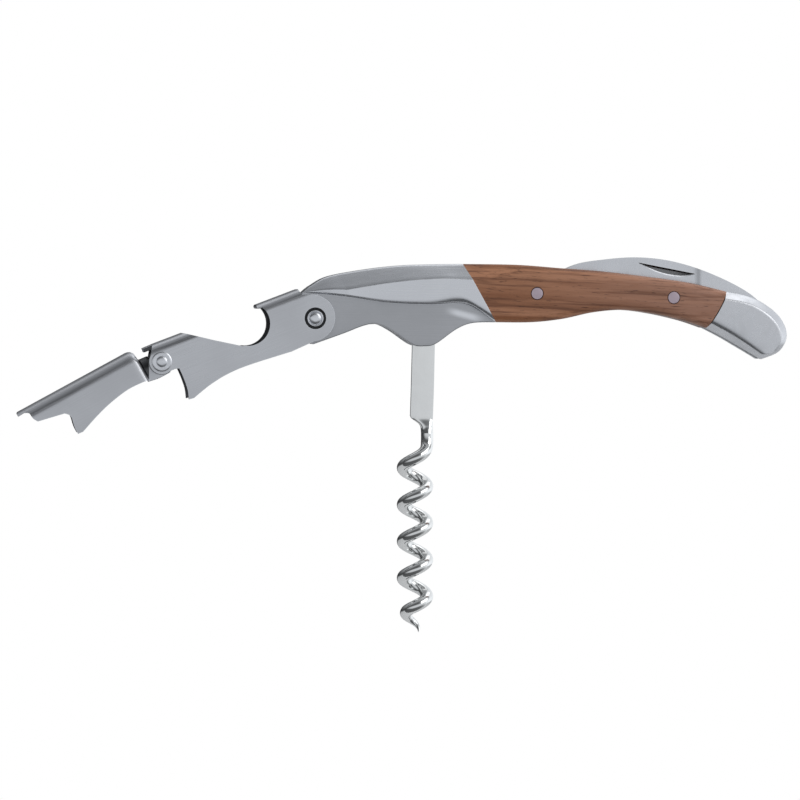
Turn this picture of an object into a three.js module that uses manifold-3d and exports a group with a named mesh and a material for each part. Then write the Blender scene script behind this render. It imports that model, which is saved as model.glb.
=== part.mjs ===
// Waiters corkscrew: a slim handle with steel bolsters and wooden scales, a worm that folds into its
// underside, a double-hinged bottle lever on its nose and a foil blade that folds into its back.
// Millimetres. X runs along the handle towards its tail, Z is up, and Y is the handle's thickness.
// The origin is the worm's point, on the axis of its helix. All four hinges lie along Y.
import * as THREE from "three";
import { mergeVertices } from "three/addons/utils/BufferGeometryUtils.js";
import Module from "manifold-3d";

const wasm = await Module();
wasm.setup();

// ---------------------------------------------------------------- driving dimensions

// hinge centres, as [x, z]
const LEVER_PIVOT = [-25.0, 76.7];
const BOOT_PIVOT = [-62.1, 66.3];
const WORM_PIVOT = [2.2, 73.8];
const BLADE_PIVOT = [83.2, 76.3];

// half thicknesses, measured from the middle plane
const SLOT_HALF = 1.0;
const LINER_OUT = 2.0;
const CHEEK_OUT = 4.5;
const GRIP_OUT = 6.2;
const LEVER_OUT = 6.0;
const NECK_OUT = 4.7;
const SHEET = 1.2;
const BLADE_HALF = 0.85;
const TANG_HALF = 0.8;
const SPRING_HALF = 0.95;

// edges, clearances, the pieces that a curve is cut into between two of its points, and a length
// that reaches past every side of the object
const CURVE_STEPS = 3;
const GRIP_ROUND = 1.1;
const PIN_CLEARANCE = 0.06;
const BEYOND = 200;

// pins
const SCALE_PIN_R = 1.5;
const HIDDEN_PIN_R = 1.3;
const BLIND_PIN_END = 3.6;
const LEVER_PIN_R = 1.5;
const LEVER_BUSH_R = 2.5;
const BOOT_PIN_R = 1.35;
const BOOT_WASHER_R = 2.45;
const BUSH_RISE = 0.2;
const WASHER = 0.25;

// a rivet's crown: its height, and the ring where its slope changes, as shares of radius and height
const RIVET_CROWN = 0.5;
const CROWN_RING = 0.6;
const CROWN_RING_HEIGHT = 0.8;

// worm
const WIRE_R = 1.5;
const HELIX_R = 2.95;
const PITCH = 8.95;
const HELIX_TOP = 44.7;
const HELIX_EASE = 0.8;
const POINT_LENGTH = 6.0;
const POINT_LAP = 0.4;
const POINT_RADIUS_SHARE = 0.3;
const WIRE_START = 3.1;
const WIRE_SIDES = 12;
const WIRE_STEPS = 96;
const SHANK_FOOT_Z = 50.9;
const WORM_TANG_R = 2.7;

// blade
const BLADE_TANG_R = 4.2;
const EDGE_HALF = 0.15;
const GRIND_TOP = 87.6;
const GRIND_FOOT = 81.0;
const NICK_DEPTH = 0.4;

// ---------------------------------------------------------------- finishes

const finish = (color, roughness, metalness) =>
  new THREE.MeshStandardMaterial({ color, roughness, metalness });
const brushed = () => finish(0xa6aab1, 0.42, 1.0);
const satin = () => finish(0xbfc2c6, 0.32, 1.0);
const polished = () => finish(0xd3d5d8, 0.15, 1.0);
const rivet = () => finish(0xc9cbd2, 0.25, 1.0);
const spring = () => finish(0x8e9298, 0.4, 1.0);
const wood = () => finish(0x96644b, 0.6, 0.0);

// ---------------------------------------------------------------- helpers

const vec = (points) => points.map(([x, z]) => new THREE.Vector2(x, z));
const around = ([x, z], radius, degrees) => {
  const turn = THREE.MathUtils.degToRad(degrees);
  return [x + radius * Math.cos(turn), z + radius * Math.sin(turn)];
};

// A merged, position-only geometry as an exact solid.
function solid(geometry) {
  geometry.deleteAttribute("normal");
  geometry.deleteAttribute("uv");
  const merged = mergeVertices(geometry, 1e-4);
  return new wasm.Manifold(
    new wasm.Mesh({
      numProp: 3,
      vertProperties: new Float32Array(merged.attributes.position.array),
      triVerts: new Uint32Array(merged.index.array),
    }),
  );
}

function node(name, body, material) {
  const mesh = body.getMesh();
  const geometry = new THREE.BufferGeometry();
  geometry.setAttribute("position", new THREE.BufferAttribute(mesh.vertProperties, 3));
  geometry.setIndex(new THREE.BufferAttribute(mesh.triVerts, 1));
  const flat = geometry.toNonIndexed();
  flat.computeVertexNormals();
  const result = new THREE.Mesh(flat, material);
  result.name = name;
  return result;
}

// A flat plate: an outline in X and Z, from y0 to y1.
function plate(shape, y0, y1) {
  const settings = { depth: y1 - y0, bevelEnabled: false, curveSegments: CURVE_STEPS };
  const geometry = new THREE.ExtrudeGeometry(shape, settings);
  geometry.rotateX(Math.PI / 2);
  geometry.translate(0, y1, 0);
  return solid(geometry);
}

// A slab whose outer edge is rounded: the outline from y0 to y1, with the round at y1.
function crownedPlate(shape, y0, y1, round) {
  const settings = {
    depth: 2 * (y1 - y0 - round),
    bevelEnabled: true,
    bevelThickness: round,
    bevelSize: round,
    bevelOffset: -round,
    bevelSegments: 3,
    curveSegments: CURVE_STEPS,
  };
  const geometry = new THREE.ExtrudeGeometry(shape, settings);
  geometry.rotateX(Math.PI / 2);
  geometry.translate(0, y1 - round, 0);
  return solid(geometry).intersect(block([-BEYOND, y0, -BEYOND], [BEYOND, BEYOND, BEYOND]));
}

function block([x0, y0, z0], [x1, y1, z1]) {
  const geometry = new THREE.BoxGeometry(x1 - x0, y1 - y0, z1 - z0);
  geometry.translate((x0 + x1) / 2, (y0 + y1) / 2, (z0 + z1) / 2);
  return solid(geometry);
}

function rod([x, z], radius, y0, y1, sides = 32) {
  const geometry = new THREE.CylinderGeometry(radius, radius, y1 - y0, sides);
  geometry.translate(x, (y0 + y1) / 2, z);
  return solid(geometry);
}

// A turned piece about a line along Y: profile points are [radius, y], from axis to axis.
function turned([x, z], profile, sides = 32) {
  const geometry = new THREE.LatheGeometry(vec(profile), sides);
  geometry.translate(x, 0, z);
  return solid(geometry);
}

function mirrored(body) {
  return body.mirror([0, 1, 0]);
}

function outline(start, draw) {
  const shape = new THREE.Shape();
  shape.moveTo(...start);
  draw(shape);
  return shape;
}

// An arc from one angle to another in degrees, drawn as eighths of a turn at most.
function arc(path, [x, z], radius, from, to) {
  const parts = Math.ceil(Math.abs(to - from) / 45);
  const cut = (i) => THREE.MathUtils.degToRad(from + ((to - from) * i) / parts);
  for (let i = 0; i < parts; i += 1) {
    path.absarc(x, z, radius, cut(i), cut(i + 1), to < from);
  }
}

// A body with round holes along Y, each given as [centre, radius], drilled from -Y up to reach.
function drilled(body, holes, reach = BEYOND) {
  const drill = ([centre, radius]) => rod(centre, radius, -BEYOND, reach);
  return holes.reduce((rest, hole) => rest.subtract(drill(hole)), body);
}

// A straight pin with a low crown at each end; the crowns start at -end and end.
function crownedPin(at, radius, end) {
  const middle = CROWN_RING * radius;
  const shoulder = end + CROWN_RING_HEIGHT * RIVET_CROWN;
  const top = end + RIVET_CROWN;
  const lower = [[0, -top], [middle, -shoulder], [radius, -end]];
  const upper = [[radius, end], [middle, shoulder], [0, top]];
  return turned(at, [...lower, ...upper]);
}

function ring(at, outer, inner, y0, y1) {
  return rod(at, outer, y0, y1).subtract(rod(at, inner, y0 - 1, y1 + 1));
}

// ---------------------------------------------------------------- the handle's outline

const NOSE_TIP = [-27.9, 82.9];
const NOSE_CORNER = [-25.3, 70.4];
const FRONT_SEAM_TOP = [11.3, 89.9];
const FRONT_SEAM_FOOT = [19.1, 75.7];
const REAR_SEAM_TOP = [76.6, 83.2];
const REAR_SEAM_BEND = [74.8, 78.6];
const REAR_SEAM_FOOT = [71.6, 74.3];
const TAIL_FOOT = [85.4, 66.6];

const BACK_FRONT = [
  [-25.6, 84.7], [-21.4, 86.9], [-13.0, 88.5], [-4.6, 89.5], [3.5, 89.8], FRONT_SEAM_TOP,
];
const BACK_WOOD = [
  [24.4, 89.7], [35.1, 88.9], [45.8, 88.1], [58.5, 86.6], [68.0, 85.2], REAR_SEAM_TOP,
];
const BACK_TAIL = [
  [82.0, 82.1], [86.1, 80.2], [89.6, 77.4], [91.5, 74.2], [91.6, 71.2], [89.6, 68.3], TAIL_FOOT,
];
const BELLY_TAIL = [[80.1, 69.7], [76.1, 72.0], REAR_SEAM_FOOT];
const BELLY_WOOD = [
  [66.1, 76.1], [58.5, 77.8], [50.9, 78.7], [43.3, 78.1], [35.7, 76.5], [28.0, 75.7], FRONT_SEAM_FOOT,
];
const BELLY_SWELL = [
  [13.5, 75.5], [9.6, 74.0], [4.6, 70.5], [1.9, 69.9], [-1.1, 70.3], [-6.0, 73.6], [-9.6, 75.3],
];
const BELLY_NOSE = [[-13.0, 74.9], [-18.0, 73.0], NOSE_CORNER];
const NOSE_ARC = [[-28.9, 73.0], [-30.3, 76.2], [-29.6, 79.6], NOSE_TIP];
const CREASE = [
  [16.0, 77.9], [12.8, 79.8], [9.5, 80.4], [3.0, 80.1], [-7.2, 80.5], [-16.2, 81.8], [-22.5, 82.5],
  NOSE_TIP,
];

function handleOutline() {
  return outline(NOSE_TIP, (s) => {
    s.splineThru(vec(BACK_FRONT));
    s.splineThru(vec(BACK_WOOD));
    s.splineThru(vec(BACK_TAIL));
    s.splineThru(vec(BELLY_TAIL));
    s.splineThru(vec(BELLY_WOOD));
    s.splineThru(vec([...BELLY_SWELL, ...BELLY_NOSE]));
    s.splineThru(vec(NOSE_ARC));
  });
}

// The whole grip in one, rounded along its back and belly; each side piece is cut from it.
function roundedGrip() {
  return crownedPlate(handleOutline(), LINER_OUT, GRIP_OUT, GRIP_ROUND);
}

function cheekOutline() {
  return outline(NOSE_TIP, (s) => {
    s.splineThru(vec(BACK_FRONT));
    s.lineTo(...FRONT_SEAM_FOOT);
    s.splineThru(vec([...BELLY_SWELL, ...BELLY_NOSE]));
    s.splineThru(vec(NOSE_ARC));
  });
}

function raisedOutline() {
  return outline(NOSE_TIP, (s) => {
    s.splineThru(vec(BACK_FRONT));
    s.lineTo(...FRONT_SEAM_FOOT);
    s.splineThru(vec(CREASE));
  });
}

function scaleOutline() {
  return outline(FRONT_SEAM_TOP, (s) => {
    s.splineThru(vec(BACK_WOOD));
    s.quadraticCurveTo(...REAR_SEAM_BEND, ...REAR_SEAM_FOOT);
    s.splineThru(vec(BELLY_WOOD));
    s.lineTo(...FRONT_SEAM_TOP);
  });
}

function tailOutline() {
  return outline(REAR_SEAM_TOP, (s) => {
    s.splineThru(vec(BACK_TAIL));
    s.splineThru(vec(BELLY_TAIL));
    s.quadraticCurveTo(...REAR_SEAM_BEND, ...REAR_SEAM_TOP);
  });
}

// ---------------------------------------------------------------- the handle's pieces

const SCALE_PINS = { front: [29.2, 82.7], rear: [63.0, 81.7] };
const SPRING_PIN = [46.0, 80.9];

// A pair of pieces, left at +Y and right at -Y, made by one shape.
function pair(name, body, material) {
  return [node(`${name}_left`, body, material()), node(`${name}_right`, mirrored(body), material())];
}

function makeLiners() {
  const holes = [
    [LEVER_PIVOT, LEVER_PIN_R],
    [WORM_PIVOT, HIDDEN_PIN_R],
    [BLADE_PIVOT, HIDDEN_PIN_R],
    [SPRING_PIN, HIDDEN_PIN_R],
    [SCALE_PINS.front, SCALE_PIN_R],
    [SCALE_PINS.rear, SCALE_PIN_R],
  ];
  return pair("liner", drilled(plate(handleOutline(), SLOT_HALF, LINER_OUT), holes), brushed);
}

function makeFrontBolsters() {
  const cheek = plate(cheekOutline(), LINER_OUT, CHEEK_OUT);
  const raised = roundedGrip().intersect(plate(raisedOutline(), LINER_OUT, GRIP_OUT));
  const body = cheek.intersect(roundedGrip()).add(raised);
  const forLever = drilled(body, [[LEVER_PIVOT, LEVER_PIN_R]]);
  return pair("front_bolster", drilled(forLever, [[WORM_PIVOT, HIDDEN_PIN_R]], BLIND_PIN_END), satin);
}

function makeScales() {
  const body = roundedGrip().intersect(plate(scaleOutline(), LINER_OUT, GRIP_OUT));
  const holes = [[SCALE_PINS.front, SCALE_PIN_R], [SCALE_PINS.rear, SCALE_PIN_R]];
  return pair("scale", drilled(body, holes), wood);
}

function makeTail() {
  const body = roundedGrip().intersect(plate(tailOutline(), LINER_OUT, GRIP_OUT));
  return pair("rear_bolster", drilled(body, [[BLADE_PIVOT, HIDDEN_PIN_R]], BLIND_PIN_END), polished);
}

function makeHandlePins() {
  const pin = (name, at, radius, end) => node(name, rod(at, radius, -end, end), rivet());
  return [
    pin("worm_pivot_pin", WORM_PIVOT, HIDDEN_PIN_R, BLIND_PIN_END),
    pin("blade_pivot_pin", BLADE_PIVOT, HIDDEN_PIN_R, BLIND_PIN_END),
    pin("back_spring_pin", SPRING_PIN, HIDDEN_PIN_R, LINER_OUT),
    pin("scale_pin_front", SCALE_PINS.front, SCALE_PIN_R, GRIP_OUT),
    pin("scale_pin_rear", SCALE_PINS.rear, SCALE_PIN_R, GRIP_OUT),
  ];
}

// The block that fills the slot in the nose and over the worm's tang.
function makeNoseSpacer() {
  const shape = outline(NOSE_TIP, (s) => {
    s.splineThru(vec(BACK_FRONT));
    s.lineTo(11.3, 84.0);
    s.lineTo(-3.5, 81.5);
    s.lineTo(-9.6, 75.3);
    s.splineThru(vec(BELLY_NOSE));
    s.splineThru(vec(NOSE_ARC));
  });
  const body = drilled(plate(shape, -SLOT_HALF, SLOT_HALF), [[LEVER_PIVOT, LEVER_PIN_R]]);
  return node("nose_spacer", body, brushed());
}

// The spring bar under the blade, from the worm's tang to the blade's tang.
function makeBackSpring() {
  const underside = [
    [2.2, 78.2], [8.0, 77.2], [22.0, 76.6], [36.0, 77.3], [47.0, 79.1], [57.0, 78.6], [74.0, 74.0],
  ];
  const top = [
    [72.0, 77.7], [63.0, 79.9], [56.0, 81.4], [46.0, 82.9], [36.0, 83.8], [29.2, 84.9], [20.0, 84.4],
  ];
  const shape = outline([-1.5, 79.2], (s) => {
    s.splineThru(vec(underside));
    s.lineTo(78.0, 72.4);
    s.lineTo(78.6, 75.6);
    s.splineThru(vec(top));
    s.splineThru(vec([[10.0, 82.0], [-0.6, 81.2]]));
  });
  const holes = [[SPRING_PIN, HIDDEN_PIN_R], [SCALE_PINS.front, SCALE_PIN_R]];
  return node("back_spring", drilled(plate(shape, -SPRING_HALF, SPRING_HALF), holes), spring());
}

// The nose rivet, with a ring round each end of it.
function makeLeverPivot() {
  const pin = node("lever_pivot_pin", crownedPin(LEVER_PIVOT, LEVER_PIN_R, LEVER_OUT), rivet());
  const bush = ring(LEVER_PIVOT, LEVER_BUSH_R, LEVER_PIN_R, CHEEK_OUT, LEVER_OUT + BUSH_RISE);
  return [pin, ...pair("lever_bush", bush, rivet)];
}

// ---------------------------------------------------------------- first lever

const SPINE_START = [-66.6, 69.5];
const SPINE_END = [-29.1, 83.75];
const SPINE_TILT = Math.atan2(SPINE_END[1] - SPINE_START[1], SPINE_END[0] - SPINE_START[0]);
const EAR_CENTRE = [-25.9, 76.8];
const EAR_R = 5.7;
const BOOT_EAR_R = 3.0;
const NOTCH_CENTRE = [-41.3, 75.4];
const NOTCH_R = 5.35;

// A point on the lever's back line, at x, sunk below it by a depth square to the line.
function onSpine(x, depth = 0) {
  const z = SPINE_START[1] + (x - SPINE_START[0]) * Math.tan(SPINE_TILT);
  return [x + depth * Math.sin(SPINE_TILT), z - depth * Math.cos(SPINE_TILT)];
}

function leverWallOutline() {
  return outline(onSpine(-64.3), (s) => {
    s.lineTo(...onSpine(-58.4));
    s.lineTo(-55.0, 72.7);
    s.lineTo(-49.3, 71.5);
    s.lineTo(-42.6, 70.0);
    arc(s, NOTCH_CENTRE, NOTCH_R, 262, 405);
    s.lineTo(...onSpine(-37.4, 0.2));
    s.lineTo(...onSpine(-29.1));
    s.lineTo(-28.2, 82.3);
    arc(s, EAR_CENTRE, EAR_R, 88, -84);
    s.lineTo(-30.7, 68.7);
    s.splineThru(vec([[-40.9, 65.5], [-46.0, 63.4], [-50.3, 60.8], [-54.4, 57.5]]));
    s.lineTo(-55.6, 57.2);
    s.splineThru(vec([[-55.9, 59.6], [-56.9, 62.5], [-57.9, 64.7]]));
    s.lineTo(-58.9, 64.5);
    arc(s, BOOT_PIVOT, BOOT_EAR_R, -50, -205);
  });
}

function spineBar(from, to, depth) {
  return outline(onSpine(from), (s) => {
    s.lineTo(...onSpine(to));
    s.lineTo(...onSpine(to, depth));
    s.lineTo(...onSpine(from, depth));
  });
}

function makeFirstLever() {
  const holes = [[LEVER_PIVOT, LEVER_BUSH_R + PIN_CLEARANCE], [BOOT_PIVOT, BOOT_PIN_R]];
  const wall = drilled(plate(leverWallOutline(), LEVER_OUT - SHEET, LEVER_OUT), holes);
  const farTop = outline(onSpine(-66.6), (s) => {
    s.lineTo(...onSpine(-58.4));
    s.lineTo(-55.0, 72.7);
    s.lineTo(-55.0, 72.7 - SHEET);
    s.lineTo(...onSpine(-58.4, SHEET));
    s.lineTo(...onSpine(-66.6, SHEET));
  });
  const near = plate(spineBar(-39.3, -29.1, SHEET), -LEVER_OUT, LEVER_OUT);
  const far = plate(farTop, -LEVER_OUT + SHEET, LEVER_OUT - SHEET);
  const seat = plate(farTop, -LEVER_OUT, LEVER_OUT).subtract(block([-70, -10, 60], [-64.3, 10, 90]));
  const body = wall.add(mirrored(wall)).add(near).add(far).add(seat);
  return node("first_lever", body, brushed());
}

function makeBootPivot() {
  const end = LEVER_OUT + WASHER;
  const pin = node("boot_pivot_pin", crownedPin(BOOT_PIVOT, BOOT_PIN_R, end), rivet());
  return [pin, ...pair("boot_washer", ring(BOOT_PIVOT, BOOT_WASHER_R, BOOT_PIN_R, LEVER_OUT, end), rivet)];
}

// ---------------------------------------------------------------- second lever

const BOOT_BACK_TIP = [-96.9, 53.9];
const BOOT_BACK_END = [-70.3, 68.4];
const BOOT_TILT = Math.atan2(BOOT_BACK_END[1] - BOOT_BACK_TIP[1], BOOT_BACK_END[0] - BOOT_BACK_TIP[0]);
const BOOT_SHOULDER = [-68.8, 67.3];
const BOOT_FOOT = [-66.3, 61.5];

function onBoot(x, depth = 0) {
  const z = BOOT_BACK_TIP[1] + (x - BOOT_BACK_TIP[0]) * Math.tan(BOOT_TILT);
  return [x + depth * Math.sin(BOOT_TILT), z - depth * Math.cos(BOOT_TILT)];
}

function bootWallOutline() {
  return outline(onBoot(-95.2), (s) => {
    s.lineTo(...BOOT_BACK_END);
    s.lineTo(...BOOT_SHOULDER);
    s.lineTo(...BOOT_FOOT);
    s.splineThru(vec([[-70.2, 59.6], [-74.4, 56.4], [-77.7, 53.2], [-81.0, 49.5]]));
    s.lineTo(-82.2, 49.0);
    s.splineThru(vec([[-83.0, 50.6], [-83.9, 53.2], [-85.4, 53.9]]));
    s.lineTo(-91.8, 52.0);
    s.splineThru(vec([[-92.9, 52.7], [-93.8, 53.9], [-95.0, 54.0]]));
  });
}

function neckOutline() {
  return outline([-71.0, 65.5], (s) => {
    s.lineTo(-67.8, 66.6);
    s.lineTo(-64.6, 67.8);
    arc(s, BOOT_PIVOT, 2.9, 149, 0);
    s.splineThru(vec([[-60.0, 63.7], [-62.6, 62.3], [-65.6, 61.3]]));
    s.lineTo(-71.0, 60.5);
  });
}

function makeBoot() {
  const wall = plate(bootWallOutline(), LEVER_OUT - SHEET, LEVER_OUT);
  const back = outline(onBoot(-96.9), (s) => {
    s.lineTo(...BOOT_BACK_END);
    s.lineTo(...BOOT_SHOULDER);
    s.lineTo(BOOT_SHOULDER[0] - 0.6, BOOT_SHOULDER[1] - SHEET);
    s.lineTo(...onBoot(-96.9, SHEET * 0.8));
  });
  const top = plate(back, -LEVER_OUT, LEVER_OUT);
  const pinHole = [[BOOT_PIVOT, BOOT_PIN_R + PIN_CLEARANCE]];
  const neckWall = drilled(plate(neckOutline(), NECK_OUT - SHEET, NECK_OUT), pinHole);
  const neckTop = outline([-71.0, 65.5], (s) => {
    s.lineTo(-67.8, 66.6);
    s.lineTo(-65.4, 67.5);
    s.lineTo(-65.0, 66.4);
    s.lineTo(-67.4, 65.5);
    s.lineTo(-70.6, 64.3);
  });
  const joggle = outline([-71.0, 67.0], (s) => {
    s.lineTo(...BOOT_BACK_END);
    s.lineTo(...BOOT_SHOULDER);
    s.lineTo(...BOOT_FOOT);
    s.lineTo(-67.6, 60.9);
    s.lineTo(-70.2, 66.3);
  });
  const step = plate(joggle, NECK_OUT - SHEET, LEVER_OUT);
  const neckSpine = plate(neckTop, -NECK_OUT, NECK_OUT);
  const side = wall.add(step).add(neckWall);
  return node("boot_lever", side.add(mirrored(side)).add(top).add(neckSpine), brushed());
}

// ---------------------------------------------------------------- worm

// The wire's middle line, from the worm's point up to the foot of the shank. It is a straight stem
// above HELIX_TOP and a right-handed helix below it, with an eased turn from one to the other and
// with its radius shrinking towards the axis at the point.
class WireCurve extends THREE.Curve {
  constructor(from) {
    super();
    this.from = from;
  }

  getPoint(t) {
    const z = this.from + t * (SHANK_FOOT_Z - this.from);
    const below = HELIX_TOP - z;
    const drop = (below + Math.sqrt(below * below + 4 * HELIX_EASE * HELIX_EASE)) / 2;
    const turn = (-2 * Math.PI * drop) / PITCH;
    const radius = HELIX_R * Math.min(1, POINT_RADIUS_SHARE + z / PITCH);
    return new THREE.Vector3(radius * Math.cos(turn), radius * Math.sin(turn), z);
  }
}

function circle(radius, sides) {
  const corner = (i) => new THREE.Vector2(
    radius * Math.cos((2 * Math.PI * i) / sides),
    radius * Math.sin((2 * Math.PI * i) / sides),
  );
  return new THREE.Shape(Array.from({ length: sides }, (_, i) => corner(i)));
}

// The cone that ends the wire: it points down the wire's own line, away from the first full section.
function wirePoint(path) {
  const back = path.getPoint(0);
  const along = path.getTangent(0).negate();
  const cone = new THREE.ConeGeometry(WIRE_R, POINT_LENGTH, WIRE_SIDES);
  cone.translate(0, POINT_LENGTH / 2 - POINT_LAP, 0);
  cone.applyQuaternion(new THREE.Quaternion().setFromUnitVectors(new THREE.Vector3(0, 1, 0), along));
  cone.translate(back.x, back.y, back.z);
  return solid(cone);
}

function makeWorm() {
  const path = new WireCurve(WIRE_START);
  const coil = new THREE.ExtrudeGeometry(circle(WIRE_R, WIRE_SIDES), {
    steps: WIRE_STEPS,
    bevelEnabled: false,
    extrudePath: path,
  });
  const shank = outline([-0.6, WORM_PIVOT[1]], (s) => {
    s.lineTo(-1.2, SHANK_FOOT_Z + 1.5);
    s.lineTo(1.35, SHANK_FOOT_Z);
    s.lineTo(HELIX_R - 0.1, SHANK_FOOT_Z - 2.2);
    s.lineTo(4.3, SHANK_FOOT_Z);
    s.lineTo(4.9, WORM_PIVOT[1]);
    arc(s, WORM_PIVOT, WORM_TANG_R, 0, 180);
  });
  const body = solid(coil).add(wirePoint(path)).add(plate(shank, -TANG_HALF, TANG_HALF));
  return node("worm", drilled(body, [[WORM_PIVOT, HIDDEN_PIN_R + PIN_CLEARANCE]]), polished());
}

// ---------------------------------------------------------------- blade

const BLADE_TIP = [32.0, 86.2];
const HEEL = [72.5, 82.2];
const BLADE_BACK = [
  [39.5, 89.8], [47.1, 91.1], [54.6, 91.6], [62.3, 90.9], [69.9, 88.9], [77.5, 85.8], [83.2, 82.6],
  [87.0, 79.2],
];
const BLADE_EDGE = [[60.0, 84.0], [48.0, 84.6], [38.0, 85.4], BLADE_TIP];
const NICK_END = [54.7, 90.4];

function bladeOutline() {
  return outline(BLADE_TIP, (s) => {
    s.splineThru(vec(BLADE_BACK));
    s.lineTo(...around(BLADE_PIVOT, BLADE_TANG_R, 10));
    arc(s, BLADE_PIVOT, BLADE_TANG_R, 10, -135);
    s.lineTo(79.0, 78.0);
    s.lineTo(...HEEL);
    s.splineThru(vec(BLADE_EDGE));
  });
}

// What is ground off the left face: a wedge along the blade, thicker towards its edge.
function grindWedge() {
  const section = new THREE.Shape(vec([
    [BLADE_HALF, GRIND_TOP],
    [EDGE_HALF, GRIND_FOOT],
    [BLADE_HALF + 1, GRIND_FOOT],
    [BLADE_HALF + 1, GRIND_TOP],
  ]));
  const geometry = new THREE.ExtrudeGeometry(section, { depth: HEEL[0] - BLADE_TIP[0], bevelEnabled: false });
  const [x, y, z] = [new THREE.Vector3(1, 0, 0), new THREE.Vector3(0, 1, 0), new THREE.Vector3(0, 0, 1)];
  geometry.applyMatrix4(new THREE.Matrix4().makeBasis(y, z, x));
  geometry.translate(BLADE_TIP[0] - 1, 0, 0);
  return solid(geometry);
}

function makeBlade() {
  const pinHole = [[BLADE_PIVOT, HIDDEN_PIN_R + PIN_CLEARANCE]];
  const blank = drilled(plate(bladeOutline(), -BLADE_HALF, BLADE_HALF), pinHole);
  const ground = blank.subtract(grindWedge()).subtract(mirrored(grindWedge()));
  const nick = outline(NICK_END, (s) => {
    s.lineTo(69.7, 87.5);
    s.splineThru(vec([[65.5, 87.1], [60.0, 88.1], NICK_END]));
  });
  const cut = plate(nick, -BLADE_HALF - 1, NICK_DEPTH - BLADE_HALF);
  return node("blade", ground.subtract(cut), satin());
}

// ---------------------------------------------------------------- assembly

const corkscrew = new THREE.Group();
corkscrew.add(
  ...makeLiners(),
  ...makeFrontBolsters(),
  ...makeScales(),
  ...makeTail(),
  ...makeHandlePins(),
  makeNoseSpacer(),
  makeBackSpring(),
  ...makeLeverPivot(),
  makeFirstLever(),
  ...makeBootPivot(),
  makeBoot(),
  makeWorm(),
  makeBlade(),
);

export default corkscrew;
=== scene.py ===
# Waiters corkscrew: the visible pieces, their finishes, a plain studio and the camera.
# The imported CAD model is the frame. Shapes are written in millimetres in its axes: X along the
# handle, Y across it and Z up. A side piece is shaped at +Y and mirrored for -Y.
import math

import bmesh
import bpy
from mathutils import Matrix, Vector


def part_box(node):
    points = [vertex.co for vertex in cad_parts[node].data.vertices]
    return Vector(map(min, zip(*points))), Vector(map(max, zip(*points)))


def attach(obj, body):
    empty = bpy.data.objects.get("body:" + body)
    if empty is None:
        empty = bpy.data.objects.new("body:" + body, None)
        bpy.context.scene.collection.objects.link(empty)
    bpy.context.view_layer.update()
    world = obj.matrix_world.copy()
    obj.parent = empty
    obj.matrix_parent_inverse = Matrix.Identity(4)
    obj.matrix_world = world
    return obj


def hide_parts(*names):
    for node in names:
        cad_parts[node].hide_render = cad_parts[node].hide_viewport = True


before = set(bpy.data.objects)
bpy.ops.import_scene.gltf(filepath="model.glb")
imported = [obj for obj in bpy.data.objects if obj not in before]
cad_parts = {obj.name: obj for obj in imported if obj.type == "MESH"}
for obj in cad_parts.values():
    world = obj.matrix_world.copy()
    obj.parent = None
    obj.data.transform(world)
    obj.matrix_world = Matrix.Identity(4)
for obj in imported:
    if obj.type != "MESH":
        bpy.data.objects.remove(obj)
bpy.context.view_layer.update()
MM = 0.001


# ---------------------------------------------------------------- places taken from the frame

def low_corner(node):
    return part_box(node)[0] / MM


def high_corner(node):
    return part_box(node)[1] / MM


def axis_of(node):
    """The x and z of a pin's middle line."""
    middle = (low_corner(node) + high_corner(node)) / 2
    return middle.x, middle.z


LEVER_PIVOT = axis_of("lever_pivot_pin")
BOOT_PIVOT = axis_of("boot_pivot_pin")
BLADE_PIVOT = axis_of("blade_pivot_pin")
SLOT_HALF = low_corner("liner_left").y
LINER_OUT = high_corner("liner_left").y
CHEEK_OUT = low_corner("lever_bush_left").y
GRIP_OUT = high_corner("scale_left").y
LEVER_OUT = high_corner("first_lever").y
SPRING_HALF = high_corner("back_spring").y
BLADE_HALF = high_corner("blade").y
SHEET = 1.2
NECK_OUT = 4.7
WOOD_OUT = GRIP_OUT - 0.1
PIN_HOLE_R = 1.6
SEAM_GAP = 0.22

# ---------------------------------------------------------------- outlines, as in the CAD

NOSE_TIP = (-27.9, 82.9)
NOSE_CORNER = (-25.3, 70.4)
FRONT_SEAM_TOP = (11.3, 89.9)
FRONT_SEAM_FOOT = (19.1, 75.7)
REAR_SEAM_TOP = (76.6, 83.2)
REAR_SEAM_BEND = (74.8, 78.6)
REAR_SEAM_FOOT = (71.6, 74.3)
TAIL_FOOT = (85.4, 66.6)
BACK_FRONT = [
    NOSE_TIP, (-25.6, 84.7), (-21.4, 86.9), (-13.0, 88.5), (-4.6, 89.5), (3.5, 89.8), FRONT_SEAM_TOP,
]
BACK_WOOD = [
    FRONT_SEAM_TOP, (24.4, 89.7), (35.1, 88.9), (45.8, 88.1), (58.5, 86.6), (68.0, 85.2), REAR_SEAM_TOP,
]
BACK_TAIL = [
    REAR_SEAM_TOP, (82.0, 82.1), (86.1, 80.2), (89.6, 77.4), (91.5, 74.2), (91.6, 71.2), (89.6, 68.3),
    TAIL_FOOT,
]
BELLY_TAIL = [TAIL_FOOT, (80.1, 69.7), (76.1, 72.0), REAR_SEAM_FOOT]
BELLY_WOOD = [
    REAR_SEAM_FOOT, (66.1, 76.1), (58.5, 77.8), (50.9, 78.7), (43.3, 78.1), (35.7, 76.5), (28.0, 75.7),
    FRONT_SEAM_FOOT,
]
BELLY_FRONT = [
    FRONT_SEAM_FOOT, (13.5, 75.5), (9.6, 74.0), (4.6, 70.5), (1.9, 69.9), (-1.1, 70.3), (-6.0, 73.6),
    (-9.6, 75.3), (-13.0, 74.9), (-18.0, 73.0), NOSE_CORNER,
]
NOSE_ARC = [NOSE_CORNER, (-28.9, 73.0), (-30.3, 76.2), (-29.6, 79.6), NOSE_TIP]
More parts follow.
